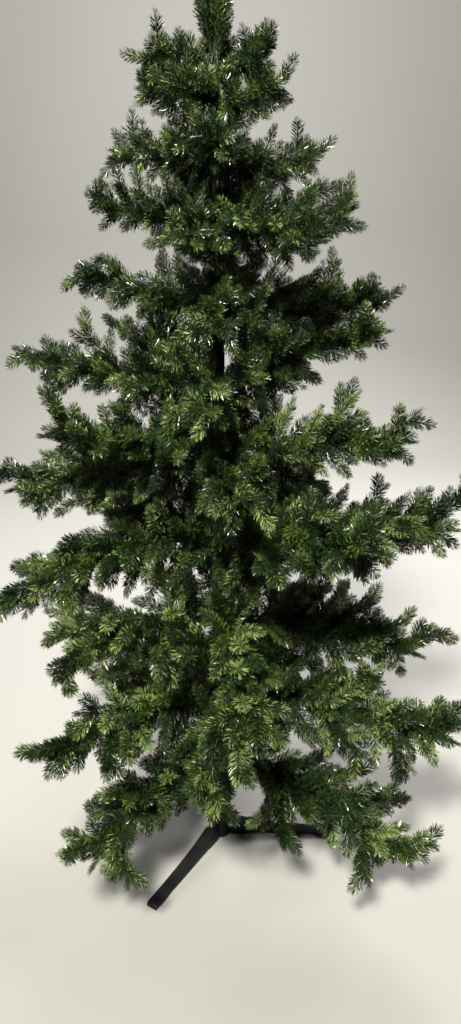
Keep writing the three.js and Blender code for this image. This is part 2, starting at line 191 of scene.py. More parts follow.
# %% [markdown]
# ## The boughs
#
# A tree of this kind is made by a rule, so it can be drawn by one. Each tier is a collar on the
# pole with three to five boughs. A bough is a wire bent in one even arc with side twigs to the left
# and right in turn and every third one upwards. The rows below say where each bough points (0 is
# +X, -90 the front), how far its tip reaches from the pole, how far it rises, how far it bends from
# its chord in degrees, and how its twigs lift or droop. Bare is the length of wire without needles.
# In the top tiers the boughs sit above and below the tier's height in turn, by the stagger. The
# solids are grown from the same rows, so every mass of needles lands on its solid.

# %% Sizes and tiers
LEAN = radians(1.3)
TREE_HEIGHT = 1800
GAP = 0.3
COLLAR_RADIUS = 20
POCKETS = 8
TOP_TUBE = {"from": 1315, "top": 1690, "radius": 7}

TIERS = [
    {"height": 235, "bare": 100, "boughs": [
        (231, 405, -40, 28, -0.1), (-36, 480, -68, 20, -0.1), (98, 500, -60, 18, -0.1),
    ]},
    {"height": 400, "bare": 90, "boughs": [
        (218, 418, 15, 14, -0.35), (-20, 530, -15, 10, -0.1), (48, 530, -10, 15, -0.1),
        (142, 530, -10, 15, -0.1), (-97, 290, -75, 20, -0.3),
    ]},
    {"height": 595, "bare": 70, "boughs": [
        (-3, 448, -95, 6, 0.2), (-86, 400, -115, 28, -0.5), (212, 370, 0, 20, -0.7),
        (95, 520, 0, 15, -0.1),
    ]},
    {"height": 765, "bare": 70, "boughs": [
        (3, 515, 15, 8, 0), (203, 430, -62, 24, -0.8), (-48, 410, 100, 6, 0.1),
        (58, 470, 20, 10, 0), (136, 490, 20, 10, 0),
    ]},
    {"height": 945, "bare": 60, "boughs": [
        (-14, 385, 62, 8, 0), (192, 415, -35, 10, -0.1), (-86, 300, -15, 15, -0.2),
        (219, 380, 112, 8, 0), (96, 440, 60, 0, 0.1),
    ]},
    {"height": 1105, "bare": 40, "boughs": [
        (184, 362, 62, -8, 0), (-12, 325, 105, 8, 0.15), (-95, 270, -20, 8, 0),
        (52, 350, 60, 0, 0.2), (128, 350, 60, 0, 0.2),
    ]},
    {"height": 1250, "bare": 30, "boughs": [
        (178, 260, 65, -4, -0.9), (0, 322, 15, -6, 0.6), (-92, 200, -25, 5, 0.1),
        (88, 330, 30, 0, 0.2),
    ]},
    {"height": 1400, "bare": 8, "stagger": 14, "boughs": [
        (190, 220, 15, -12, 0.15), (256, 195, -10, -8, 0.1), (-52, 275, -50, -8, 0.15),
        (-8, 250, 35, -12, 0.2), (91, 240, 60, -8, 0.3),
    ]},
    {"height": 1500, "bare": 8, "stagger": 14, "boughs": [
        (178, 190, 5, -8, 0.1), (0, 185, 18, -4, 0), (-90, 150, 5, -5, 0.1),
        (92, 185, 40, -8, 0.3),
    ]},
    {"height": 1585, "bare": 8, "stagger": 14, "boughs": [
        (168, 140, 20, -8, 0.2), (-28, 120, 40, -5, 0.2), (-118, 105, 0, -5, 0.2),
    ]},
    {"height": 1655, "bare": 8, "stagger": 10, "boughs": [
        (184, 112, -5, -8, 0.1), (-5, 90, 20, -8, 0.15), (85, 110, 0, -8, 0.3),
    ]},
]
BOUGH_ROW = ("azimuth", "reach", "rise", "bend", "lift")
collar_tiers = [tier for tier in TIERS if tier["height"] < TOP_TUBE["from"]]
print("tiers:", len(TIERS), "boughs:", sum(len(tier["boughs"]) for tier in TIERS))

# %% [markdown]
# The rule needs a few small tools: draws from a seed, which come out the same on every run; a
# direction that strays from another by an angle; and a line of points bent in an arc. Curves with
# handles would do for one bough, but a rule that returns plain points can grow any number of them.

# %% Tools of the rule
STEM_STEPS = 12
TWIG_STEPS = 5
NEARLY_STRAIGHT = 1e-6
NEARLY_UPRIGHT = 0.95
NEARLY_THERE = 0.9999
UP = Vector((0, 0, 1))


def chance(seed):
    state = seed & 0xFFFFFFFF

    def draw(low, high):
        nonlocal state
        state = (state * 1664525 + 1013904223) & 0xFFFFFFFF
        return low + (high - low) * state / 2**32

    return draw


def outward(azimuth):
    """The level direction away from the pole at an azimuth in degrees."""
    heading = radians(azimuth)
    return Vector((cos(heading), sin(heading), 0))


def stray(along, spread, roll):
    """A direction at an angle from another one, on the side that roll gives."""
    reference = Vector((1, 0, 0)) if abs(along.z) > NEARLY_UPRIGHT else UP
    level = along.cross(reference).normalized()
    upright = level.cross(along)
    aside = level * cos(roll) + upright * sin(roll)
    return along * cos(spread) + aside * sin(spread)


def stem_points(bough, sweep):
    """A bough's wire, in one even arc from the pole to its tip, swept a little to one side."""
    out = outward(bough["azimuth"])
    side = UP.cross(out)
    start = COLLAR_RADIUS if bough["height"] < TOP_TUBE["from"] else TOP_TUBE["radius"]
    chord = out * (bough["reach"] - start) + UP * bough["rise"]
    along = chord.normalized()
    normal = along.cross(side)
    angle = radians(bough["bend"]) + NEARLY_STRAIGHT
    turn = radians(sweep) + NEARLY_STRAIGHT
    root = out * (start + GAP) + UP * bough["height"]
    points = []
    for step in range(STEM_STEPS + 1):
        share = step / STEM_STEPS
        bent = angle * (1 - 2 * share)
        swept = turn * (1 - 2 * share)
        run = (sin(angle) - sin(bent)) / (2 * sin(angle))
        arch = (cos(bent) - cos(angle)) / (2 * sin(angle))
        drift = (cos(swept) - cos(turn)) / (2 * sin(turn))
        points.append(root + (along * run + normal * arch + side * drift) * chord.length)
    return points


def twig_points(start, direction, length, lift):
    points = [start]
    for step in range(TWIG_STEPS):
        heading = (direction + UP * (lift * (step + 0.5) / TWIG_STEPS)).normalized()
        points.append(points[-1] + heading * (length / TWIG_STEPS))
    return points


def along_points(points, share):
    """The place and the direction at a share of the way along evenly spaced points."""
    position = min(max(share, 0), NEARLY_THERE) * (len(points) - 1)
    index = int(position)
    step = points[index + 1] - points[index]
    return points[index] + step * (position - index), step.normalized()


# %% [markdown]
# ## Twigs and finer twigs
#
# The solids stop at the main twigs. A real bough has more: short twigs all round its wire, and
# twiglets on each twig. Other short twigs stand up and hang down at the bough's root and grow from
# the collar's free pockets, which closes the crown round the pole. All are grown by the same rule
# with a second run of draws, so that the main twigs stay where the solids have them. The boughs of
# the top tubes are finer, so twigs and needles get shorter towards the top. Each line keeps a kind,
# which later says which greens its needles have.

# %% Grow a bough
TWIGS = {
    "seed": 7919, "sweep": 14, "fewest": 4, "most": 6, "spacing": 68, "base": 28, "share": 0.33,
    "first": 0.12, "last": 0.9, "jitter": 0.02, "taper": 0.4, "vary": (0.85, 1.1),
    "spread": (32, 52), "roll": (-30, 40), "upright": (50, 110), "upward_every": 3, "lift_vary": 0.15,
}
FINER = {
    "seed": 6101, "spacing": 11.5, "first": 0.2, "last": 0.9, "length": (0.55, 0.9), "shortest": 44,
    "taper": 0.7, "beyond": 10, "spread": (38, 64), "turn": 137.5, "roll_vary": 25,
}
TWIGLET = {
    "fewest": 2, "spacing": 28, "last": 0.85, "jitter": 0.05, "spread": (35, 55),
    "length": (0.38, 0.58), "at_root": 1.15, "taper": 0.5,
}
INNER = {
    "count": 8, "from": 0.5, "step": 10, "length": (90, 150), "out": (0.1, 0.4), "aside": 1.1,
    "full": 250,
}
COLLAR_TWIGS = {
    "seed": 3571, "apart": 20, "length": (110, 155), "rises": ((0.4, 1.3), (-1.1, -0.2)),
}
# Share is how short twigs and needles get at the top; dark scales down the draw of the greens there, so
# darker greens come up more often near the top as painted shade.
TOP_CROWN = {"from": 700, "full": 1400, "share": 0.72, "dark": 0.8}


def crown_share(height, at_top=TOP_CROWN["share"]):
    """A share that falls from 1 at the foot of the tree to a lower one at its top."""
    way = (height - TOP_CROWN["from"]) / (TOP_CROWN["full"] - TOP_CROWN["from"])
    return 1 - (1 - at_top) * min(1, max(0, way))


def length_of(points):
    return sum((b - a).length for a, b in zip(points, points[1:]))


def line(points, kind, start=0.0):
    """A wire: its points, its kind, and the length at its root that has no needles."""
    return {"points": points, "kind": kind, "start": start}


def twig(place, heading, length, lift=0, kind="twiglet"):
    return line(twig_points(place, heading, length, lift), kind)


def main_twigs(bough, index, stem, draw):
    """The twigs that the solids have too, to the left and right in turn and every third upwards."""
    fitting = floor(bough["reach"] / TWIGS["spacing"] + 0.5)
    count = min(TWIGS["most"], max(TWIGS["fewest"], fitting))
    longest = TWIGS["base"] + TWIGS["share"] * bough["reach"]
    first = max(bough["bare"] / bough["reach"], TWIGS["first"])
    side = 1 if index % 2 else -1
    twigs = []
    for number in range(count):
        even = first + (TWIGS["last"] - first) * (number + 0.5) / count
        share = even + draw(-TWIGS["jitter"], TWIGS["jitter"])
        place, along = along_points(stem, share)
        sideways = radians(draw(*TWIGS["roll"]))
        upwards = radians(draw(*TWIGS["upright"]))
        roll = upwards if (number + 1) % TWIGS["upward_every"] == 0 else sideways
        spread = radians(draw(*TWIGS["spread"]))
        heading = stray(along, spread, roll if side > 0 else pi - roll)
        length = longest * (1 - TWIGS["taper"] * share) * draw(*TWIGS["vary"])
        lift = bough["lift"] + draw(-TWIGS["lift_vary"], TWIGS["lift_vary"])
        twigs.append((twig_points(place, heading, length, lift), length))
        side = -side
    return twigs


def finer_twigs(bough, stem, twigs, draw):
    """Twiglets on each twig, and short twigs all round the bough's own wire."""
    lines = []
    for points, length in twigs:
        count = max(TWIGLET["fewest"], round(length / TWIGLET["spacing"]))
        for number in range(count):
            even = (number + 0.5) / count * TWIGLET["last"]
            share = even + draw(-TWIGLET["jitter"], TWIGLET["jitter"])
            place, along = along_points(points, share)
            spread = radians(draw(*TWIGLET["spread"]))
            heading = stray(along, spread, draw(0, 2 * pi))
            full = length * draw(*TWIGLET["length"]) * (TWIGLET["at_root"] - TWIGLET["taper"] * share)
            reach = max(FINER["shortest"], full)
            lines.append(twig(place, heading, reach, bough["lift"]))
    longest = TWIGS["base"] + TWIGS["share"] * bough["reach"]
    first = bough["bare"] / bough["reach"]
    spacing = FINER["spacing"] * crown_share(bough["height"])
    count = ceil((1 - first) * bough["reach"] / spacing)
    for number in range(count):
        share = first + (FINER["last"] - first) * (number + FINER["first"]) / count
        place, along = along_points(stem, share)
        spread = radians(draw(*FINER["spread"]))
        roll = radians(FINER["turn"] * number + draw(-FINER["roll_vary"], FINER["roll_vary"]))
        reach = max(FINER["shortest"], longest * draw(*FINER["length"]) * (1 - FINER["taper"] * share))
        room = (1 - share) * bough["reach"] + FINER["beyond"]
        lines.append(twig(place, stray(along, spread, roll), min(reach, room), bough["lift"]))
    return lines


def inner_twigs(bough, stem, draw):
    """Twigs at the root that stand up and hang down along the pole in turn."""
    lines = []
    for number in range(INNER["count"]):
        share = (INNER["from"] * bough["bare"] + INNER["step"] * number) / bough["reach"]
        place, along = along_points(stem, share)
        upright = UP if number % 2 else -UP
        level = along.cross(UP) * draw(-INNER["aside"], INNER["aside"])
        heading = (upright + along * draw(*INNER["out"]) + level).normalized()
        short = crown_share(bough["height"]) * min(1, bough["reach"] / INNER["full"])
        lines.append(twig(place, heading, draw(*INNER["length"]) * short))
    return lines


def pocket_azimuths(tier):
    """The pockets stand evenly round the collar, the first of them where the first bough hooks in."""
    return [tier["boughs"][0][0] + 360 * number / POCKETS for number in range(POCKETS)]


def collar_twigs(tier, draw):
    """Twigs from the free pockets of a collar. Those of the lowest one stay clear of the stand."""
    lines = []
    for azimuth in pocket_azimuths(tier):
        apart = [abs((azimuth - row[0] + 180) % 360 - 180) for row in tier["boughs"]]
        if min(apart) < COLLAR_TWIGS["apart"]:
            continue
        out = outward(azimuth)
        place = out * COLLAR_RADIUS + UP * tier["height"]
        for rises in COLLAR_TWIGS["rises"]:
            rise = draw(*rises)
            if tier is TIERS[0]:
                rise = max(rise, 0)
            length = draw(*COLLAR_TWIGS["length"]) * crown_share(tier["height"])
            lines.append(twig(place, (out + UP * rise).normalized(), length))
    return lines


def grow_bough(bough, index):
    draw = chance(TWIGS["seed"] * (index + 1))
    stem = stem_points(bough, draw(-TWIGS["sweep"], TWIGS["sweep"]))
    twigs = main_twigs(bough, index, stem, draw)
    draw = chance(FINER["seed"] * (index + 1))
    finer = finer_twigs(bough, stem, twigs, draw) + inner_twigs(bough, stem, draw)
    return [line(stem, "stem", bough["bare"]), *(line(points, "twig") for points, _ in twigs), *finer]


# %% [markdown]
# The leader is the wire that stands on the pole's tip. Its twigs turn round it by the angle that
# plants use, so that no two stand above each other, and a skirt of short twigs hides the tip.

# %% Grow the leader and the whole crown
LEADER = {"seed": 104729, "turn": 137.5, "lift": 0.3}
LEADER_TWIGS = {
    "twig": {
        "count": 5, "first": 0.05, "step": 0.1, "ahead": 0, "spread": (38, 50), "length": (44, 58),
    },
    "twiglet": {
        "count": 14, "first": 0, "step": 1 / 28, "ahead": 0.5, "spread": (16, 40), "length": (40, 62),
    },
}
SKIRT = {"count": 24, "length": (60, 85), "drop": 60, "out_up": 0.3, "out_down": 0.45}


def grow_leader():
    draw = chance(LEADER["seed"])
    foot = Vector((0, 0, TOP_TUBE["top"] + GAP))
    stem = twig_points(foot, UP, TREE_HEIGHT - foot.z, 0)
    lines = [line(stem, "stem")]
    for kind, row in LEADER_TWIGS.items():
        for number in range(row["count"]):
            place, along = along_points(stem, row["first"] + row["step"] * number)
            turn = radians(LEADER["turn"] * (number + row["ahead"]))
            heading = stray(along, radians(draw(*row["spread"])), turn)
            lines.append(twig(place, heading, draw(*row["length"]), LEADER["lift"], kind))
    for number in range(SKIRT["count"]):
        out = outward(LEADER["turn"] * number)
        aim = out * SKIRT["out_down"] - UP if number % 2 else out * SKIRT["out_up"] + UP
        place = foot + out * TOP_TUBE["radius"] - UP * draw(0, SKIRT["drop"])
        lines.append(twig(place, aim.normalized(), draw(*SKIRT["length"])))
    return lines


def every_bough():
    for tier_number, tier in enumerate(TIERS, 1):
        for number, row in enumerate(tier["boughs"], 1):
            above = tier.get("stagger", 0) * (1 if number % 2 else -1)
            yield {
                "name": f"tier_{tier_number}_{number}", "height": tier["height"] + above,
                "bare": tier["bare"], **dict(zip(BOUGH_ROW, row)),
            }


boughs = list(every_bough())
crown = {bough["name"]: grow_bough(bough, index) for index, bough in enumerate(boughs)}
crown["leader"] = grow_leader()
for tier_number, tier in enumerate(collar_tiers, 1):
    crown[f"tier_{tier_number}_1"] += collar_twigs(tier, chance(COLLAR_TWIGS["seed"] * tier_number))
all_lines = [grown for lines in crown.values() for grown in lines]
metres = sum(length_of(grown["points"]) for grown in all_lines) * MM
print("crown:", len(all_lines), "wires,", round(metres, 1), "m of wire")

# %% [markdown]
# ## From points to a mesh of lines
#
# Geometry Nodes read the wires as a mesh with edges only. Each vertex carries numbers that the
# tree of the needles uses: how far along its wire it lies, how long the needles may be there, and
# which part of the whorls this green has. The needles are shortened near the pole and near the
# floor, so that none of them goes through either. The whole crown leans with the pole, so the lean
# is put in here, once.

# %% Lines to a mesh
NEEDLE_LENGTH = 25
FLOOR_CLEARANCE = 5
INTO_POLE = 6
LEAST_ROOM = 0.25


def leaned(point):
    """From the upright tree to the leaning one, and from millimetres to metres."""
    x = point.x * cos(LEAN) + point.z * sin(LEAN)
    z = point.z * cos(LEAN) - point.x * sin(LEAN)
    return Vector((x, point.y, z)) * MM


def from_points(name, places, edges=(), faces=()):
    mesh = bpy.data.meshes.new(name)
    mesh.from_pydata(places, edges, faces)
    return in_scene(name, mesh)


def room_share(point):
    """How much of its full length a needle may have here."""
    above_floor = leaned(point).z / MM - FLOOR_CLEARANCE
    free = min(NEEDLE_LENGTH, above_floor)
    if point.z < TOP_TUBE["top"]:
        free = min(free, hypot(point.x, point.y) - TOP_TUBE["radius"] + INTO_POLE)
    return max(LEAST_ROOM, free / NEEDLE_LENGTH) * crown_share(point.z)


def carry(made, label, column):
    """Gives each vertex a number for the node trees to read."""
    made.data.attributes.new(label, "FLOAT", "POINT").data.foreach_set("value", column)


def no_numbers(wire, share, point):
    return {}


def line_mesh(name, wires, numbers_at=no_numbers):
    """A mesh of edges. A function of wire, share and point gives the numbers of each vertex."""
    places, edges, numbers = [], [], []
    for wire in wires:
        last = len(wire["points"]) - 1
        for index, point in enumerate(wire["points"]):
            if index:
                edges.append((len(places) - 1, len(places)))
            places.append(leaned(point))
            numbers.append(numbers_at(wire, index / last, point))
    made = from_points(name, places, edges)
    for label in numbers[0]:
        carry(made, label, [row[label] for row in numbers])
    return made


# %% [markdown]
# The node trees share some steps. Every tree ends in the same two nodes, which make the instances
# real and give the finish. Its result is kept as a plain mesh, and the modifier is taken off.


# %% Helpers for node trees
def new_tree(name, inputs):
    tree = bpy.data.node_groups.new(name, "GeometryNodeTree")
    tree.interface.new_socket(name="Geometry", in_out="INPUT", socket_type="NodeSocketGeometry")
    for label, kind in inputs.items():
        tree.interface.new_socket(name=label, in_out="INPUT", socket_type=f"NodeSocket{kind}")
    tree.interface.new_socket(name="Geometry", in_out="OUTPUT", socket_type="NodeSocketGeometry")
    tree.nodes.new("NodeGroupOutput")
    return tree, tree.nodes.new("NodeGroupInput").outputs


def number_between(tree, low, high, seed):
    """A random number for each point. Low and high are numbers or sockets."""
    sockets = {2: low, 3: high, "Seed": seed}
    return node(tree, "FunctionNodeRandomValue", sockets, data_type="FLOAT")[1]


def calculate(tree, operation, first, second=0):
    return node(tree, "ShaderNodeMath", {0: first, 1: second}, operation=operation)[0]


def remap(tree, value, start, low, high):
    """A number that is low up to start and goes to high as the value goes on to 1."""
    sockets = {"Value": value, "From Min": start, "From Max": 1.0, "To Min": low, "To Max": high}
    return node(tree, "ShaderNodeMapRange", sockets)["Result"]


def carried(tree, label):
    """A number that the vertices carry."""
    sockets = {"Name": label}
    return node(tree, "GeometryNodeInputNamedAttribute", sockets, data_type="FLOAT")["Attribute"]


def to_curves(tree, given):
    return node(tree, "GeometryNodeMeshToCurve", {"Mesh": given["Geometry"]})["Curve"]


def end_tree(tree, given, geometry):
    real = node(tree, "GeometryNodeRealizeInstances", {"Geometry": geometry})["Geometry"]
    sockets = {"Geometry": real, "Material": given["Finish"]}
    dressed = node(tree, "GeometryNodeSetMaterial", sockets)["Geometry"]
    tree.links.new(dressed, tree.nodes["Group Output"].inputs[0])
    return tree


def in_metres(lengths):
    return {label: length * MM for label, length in lengths.items()}


def run_tree(made, tree, values):
    """Puts the tree on an object, sets its named inputs and returns the result as a plain mesh."""
    grower = made.modifiers.new(tree.name, "NODES")
    grower.node_group = tree
    for item in tree.interface.items_tree:
        if item.item_type == "SOCKET" and item.in_out == "INPUT" and item.name in values:
            grower[item.identifier] = values[item.name]
    evaluated = made.evaluated_get(bpy.context.evaluated_depsgraph_get())
    mesh = bpy.data.meshes.new_from_object(evaluated)
    made.modifiers.remove(grower)
    made.data = mesh
    return made


def hand_over(made, nodes):
    """A finished piece rides on the tree's one body and stands for its solids."""
    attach(made, "root")
    if nodes:
        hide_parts(*nodes)
    made.data.calc_loop_triangles()
    triangles = len(made.data.loop_triangles)
    print(made.name, triangles, "triangles, stands for", len(nodes), "solids")


# %% [markdown]
# ## The needles
#
# A needle is a strip of plastic film, 25 mm long, caught between the two wires of a twig so that
# it stands out and leans to the tip. A hair system would be quick, but hair can't be kept as a
# plain mesh. Nearly a million needles have to stay light, so each is one slim pointed face, a
# little wider than a real one, and five of them make a whorl that is set again and again. Within
# the whorl no two needles are as long, lean as far or face the same way, so it never reads as a
# star.

# %% One whorl of needles
# How far out and how far up each needle reaches, and the degrees by which its face is turned.
WHORL = [(1.0, 1.0, 0), (0.84, 1.15, 70), (0.94, 0.8, 25), (0.76, 1.05, 110), (1.04, 0.9, 50)]
NEEDLE_SHOULDER = 0.7
NEEDLE_WIDTH = 0.115


def needle_whorl():
    """Five needles round +Z that reach about one unit out and one unit up."""
    corners, faces = [], []
    for number, (reach, rise, turn) in enumerate(WHORL):
        out = outward(360 * number / len(WHORL))
        tip = out * reach + UP * rise
        across = out.cross(UP)
        over = tip.normalized().cross(across)
        facing = radians(turn)
        side = (across * cos(facing) + over * sin(facing)) * NEEDLE_WIDTH
        faces.append((len(corners), len(corners) + 1, len(corners) + 2))
        corners.extend([Vector((0, 0, 0)), tip * NEEDLE_SHOULDER + side, tip])
    return from_points("needle_whorl", corners, faces=faces)


# %% [markdown]
# Geometry Nodes set the whorls. The wires become curves, and points follow them at even steps. At
# each point the whorl is turned to the wire's direction and spun to any side. Its width and its
# height follow from the needles' length and lean. Towards the tip of a twig the lean closes and
# the needles get shorter, so that the spray ends in a narrow point as the real ones do.


# %% The tree that sets needles along wires
CLOSING_FROM = 0.8
SHORTER_FROM = 0.7
LONGEST = 1.05


def needle_tree():
    tree, given = new_tree("needles_along_wires", {
        "Whorl": "Object", "Spacing": "Float", "Length": "Float", "Tip length": "Float",
        "Lean": "Float", "Tip lean": "Float", "Vary": "Float", "Seed": "Int", "Finish": "Material",
    })
    sockets = {"Curve": to_curves(tree, given), "Length": given["Spacing"]}
    points = node(tree, "GeometryNodeCurveToPoints", sockets, mode="LENGTH")
    seeds = [calculate(tree, "ADD", given["Seed"], step) for step in range(4)]
    any_part = number_between(tree, 0, 1, seeds[3])
    chosen = calculate(tree, "LESS_THAN", any_part, carried(tree, "part"))

    share = carried(tree, "share")
    least = calculate(tree, "SUBTRACT", 1, given["Vary"])
    most = calculate(tree, "ADD", 1, given["Vary"])
    closing = remap(tree, share, CLOSING_FROM, given["Lean"], given["Tip lean"])
    lean = calculate(tree, "MULTIPLY", closing, number_between(tree, least, most, seeds[0]))
    varied = number_between(tree, least, LONGEST, seeds[1])
    shorter = remap(tree, share, SHORTER_FROM, 1.0, given["Tip length"])
    length = given["Length"]
    for factor in (varied, carried(tree, "room"), shorter):
        length = calculate(tree, "MULTIPLY", length, factor)
    out = calculate(tree, "MULTIPLY", length, calculate(tree, "SINE", lean))
    up = calculate(tree, "MULTIPLY", length, calculate(tree, "COSINE", lean))
    size = node(tree, "ShaderNodeCombineXYZ", {"X": out, "Y": out, "Z": up})["Vector"]

    sockets = {"Vector": points["Tangent"]}
    aligned = node(tree, "FunctionNodeAlignRotationToVector", sockets, axis="Z")["Rotation"]
    sockets = {"Axis": (0, 0, 1), "Angle": number_between(tree, 0, 2 * pi, seeds[2])}
    spin = node(tree, "FunctionNodeAxisAngleToRotation", sockets)["Rotation"]
    sockets = {"Rotation": aligned, "Rotate By": spin}
    turned_to = node(tree, "FunctionNodeRotateRotation", sockets, rotation_space="LOCAL")["Rotation"]
    placed = node(tree, "GeometryNodeInstanceOnPoints", {
        "Points": points["Points"], "Selection": chosen, "Rotation": turned_to, "Scale": size,
        "Instance": node(tree, "GeometryNodeObjectInfo", {"Object": given["Whorl"]})["Geometry"],
    })["Instances"]
    return end_tree(tree, given, placed)


# %% [markdown]
# The greens are dealt out by spray. Each wire draws a main green, with the deep greens likelier on
# the stems and near the top, as painted shade inside the crown and over its top, and the fresh ones on
# the finest twigs. Three whorls in ten take a second green, three steps from the first, so that no
# spray is flat. The pieces are the greens, so each piece is one mesh with one film, and it stands for
# the solids that have it as a main green.

# %% Deal the greens to the wires
SHARES = {
    # Stems take the deep greens most often: painted shade inside the crown.
    "stem": (0.30, 0.24, 0.22, 0.12, 0.08, 0.04),
    "twig": (0.14, 0.18, 0.20, 0.20, 0.16, 0.12),
    "twiglet": (0.12, 0.15, 0.18, 0.20, 0.19, 0.16),
}
GREEN_SEED = 4421
OTHER_PART = 0.3
OTHER_STEPS = 3
CLOSEST_POINTS = 0.02
greens = list(GREENS)
other_green = dict(zip(greens, greens[OTHER_STEPS:] + greens[:OTHER_STEPS]))


def trimmed(wire):
    """The needled part of a wire, without its bare root."""
    if wire["start"] == 0:
        return wire
    points = wire["points"]
    share = wire["start"] / length_of(points)
    last = len(points) - 1
    kept = [point for index, point in enumerate(points) if index / last > share + CLOSEST_POINTS]
    return {**wire, "points": [along_points(points, share)[0], *kept]}


def deal_greens():
    """The wires of each green, and the solids that have it as a main green."""
    draw = chance(GREEN_SEED)
    dealt = {name: [] for name in GREENS}
    holders = {name: set() for name in GREENS}
    for bough_name, lines in crown.items():
        for wire in lines:
            # Near the top the draw shrinks towards the deep greens: painted shade over the crown's top.
            pick = draw(0, 1) * crown_share(wire["points"][0].z, TOP_CROWN["dark"])
            for name, part in zip(GREENS, SHARES[wire["kind"]]):
                pick -= part
                if pick <= 0:
                    break
            kept = trimmed(wire)
            dealt[name].append({**kept, "part": 1 - OTHER_PART})
            dealt[other_green[name]].append({**kept, "part": OTHER_PART})
            holders[name].add(f"{bough_name}_foliage")
    return dealt, holders


# %% Make the needles
SPRAY_LENGTHS = {"Spacing": 1.15, "Length": NEEDLE_LENGTH}
SPRAY = {"Lean": radians(52), "Tip lean": radians(20), "Vary": 0.2, "Tip length": 0.6}


def spray_numbers(wire, share, point):
    return {"share": share, "room": room_share(point), "part": wire["part"]}


whorl = needle_whorl()
needle_nodes = needle_tree()
dealt, holders = deal_greens()
for number, (name, wires) in enumerate(dealt.items()):
    sprays = run_tree(line_mesh(name, wires, spray_numbers), needle_nodes, {
        **in_metres(SPRAY_LENGTHS), **SPRAY,
        "Whorl": whorl, "Seed": 10 * number, "Finish": needle_film[name],
    })
    hand_over(sprays, sorted(holders[name]))
bpy.data.objects.remove(whorl)

# %% [markdown]
# ## The wires
#
# A bough's stem is two steel wires twisted round each other, with a hook bent down into its collar.
# A Screw modifier could twist them, but these stems are bent, so the twist has to follow the bend:
# Geometry Nodes set each strand beside the stem's line, on a side that turns with the length. The
# twigs are too thin for a twist to show and are plain tapered wires.

# %% The two wire trees
STRAND = {"Step": 4, "Pitch": 20, "Offset": 1.5, "Radius": 1.6}
TWIG_WIRE = {"Root radius": 1.6, "Tip radius": 0.7}
WIRE = {"Sides": 4, "Finish": bough_wire}
HOOK = {"drop": 12, "corner": 2, "inset": 1}


def swept(tree, curves, sides, radius, scale=1.0):
    """A round wire along curves."""
    sockets = {"Resolution": sides, "Radius": radius}
    ring = node(tree, "GeometryNodeCurvePrimitiveCircle", sockets)["Curve"]
    sockets = {"Curve": curves, "Profile Curve": ring, "Scale": scale, "Fill Caps": True}
    return node(tree, "GeometryNodeCurveToMesh", sockets)["Mesh"]


def strand_tree():
    """Two strands on opposite sides of the line, turned further the further along it they are."""
    tree, given = new_tree("twisted_strands", {
        "Step": "Float", "Pitch": "Float", "Offset": "Float", "Radius": "Float", "Sides": "Int",
        "Finish": "Material",
    })
    sockets = {"Curve": to_curves(tree, given), "Length": given["Step"]}
    stepped = node(tree, "GeometryNodeResampleCurve", sockets, mode="LENGTH")["Curve"]
    tangent = node(tree, "GeometryNodeInputTangent", {})[0]
    normal = node(tree, "GeometryNodeInputNormal", {})[0]
    crossed = node(tree, "ShaderNodeVectorMath", {0: tangent, 1: normal}, operation="CROSS_PRODUCT")[0]
    run = node(tree, "GeometryNodeSplineParameter", {})["Length"]
    turns = calculate(tree, "DIVIDE", run, given["Pitch"])
    angle = calculate(tree, "MULTIPLY", turns, 2 * pi)
    join = tree.nodes.new("GeometryNodeJoinGeometry")
    for start in (0, pi):
        turned_by = calculate(tree, "ADD", angle, start)
        parts = []
        for direction, way in ((normal, "COSINE"), (crossed, "SINE")):
            part = calculate(tree, "MULTIPLY", calculate(tree, way, turned_by), given["Offset"])
            sockets = {0: direction, "Scale": part}
            parts.append(node(tree, "ShaderNodeVectorMath", sockets, operation="SCALE")[0])
        shift = node(tree, "ShaderNodeVectorMath", {0: parts[0], 1: parts[1]}, operation="ADD")[0]
        sockets = {"Geometry": stepped, "Offset": shift}
        moved = node(tree, "GeometryNodeSetPosition", sockets)["Geometry"]
        strand = swept(tree, moved, given["Sides"], given["Radius"])
        tree.links.new(strand, join.inputs[0])
    return end_tree(tree, given, join.outputs[0])


def twig_wire_tree():
    tree, given = new_tree("twig_wires", {
        "Root radius": "Float", "Tip radius": "Float", "Sides": "Int", "Finish": "Material",
    })
    share = node(tree, "GeometryNodeSplineParameter", {})["Factor"]
    radius = remap(tree, share, 0, given["Root radius"], given["Tip radius"])
    wires = swept(tree, to_curves(tree, given), given["Sides"], 1, radius)
    return end_tree(tree, given, wires)


# %% Make the wires
def with_hook(bough, stem):
    """The stem with its end bent down behind the collar's pocket."""
    if bough["height"] > TOP_TUBE["from"]:
        return stem
    bend = outward(bough["azimuth"]) * (COLLAR_RADIUS - HOOK["inset"]) + UP * bough["height"]
    hook = [bend - UP * HOOK["drop"], bend - UP * HOOK["corner"]]
    return {**stem, "points": hook + stem["points"]}


stems = [with_hook(bough, crown[bough["name"]][0]) for bough in boughs] + [crown["leader"][0]]
stem_lines = line_mesh("bough_stems", stems)
stem_wires = run_tree(stem_lines, strand_tree(), {**in_metres(STRAND), **WIRE})
limb_nodes = [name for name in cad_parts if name.endswith("_bough")]
hand_over(stem_wires, limb_nodes)

twig_lines = line_mesh("twig_wires", [wire for wire in all_lines if wire["kind"] != "stem"])
twig_wires = run_tree(twig_lines, twig_wire_tree(), {**in_metres(TWIG_WIRE), **WIRE})
hand_over(twig_wires, [])

# %% [markdown]
# ## The pole and its collars
#
# The pole is three steel tubes, each plugged into the one below, with a wider sleeve at each joint.
# A tube can be a stack of cylinders, but one turned profile keeps every step and bevel in a single
# clean surface: the profile's points are spun round the axis.

# %% Turned pieces
CRISP = radians(35)


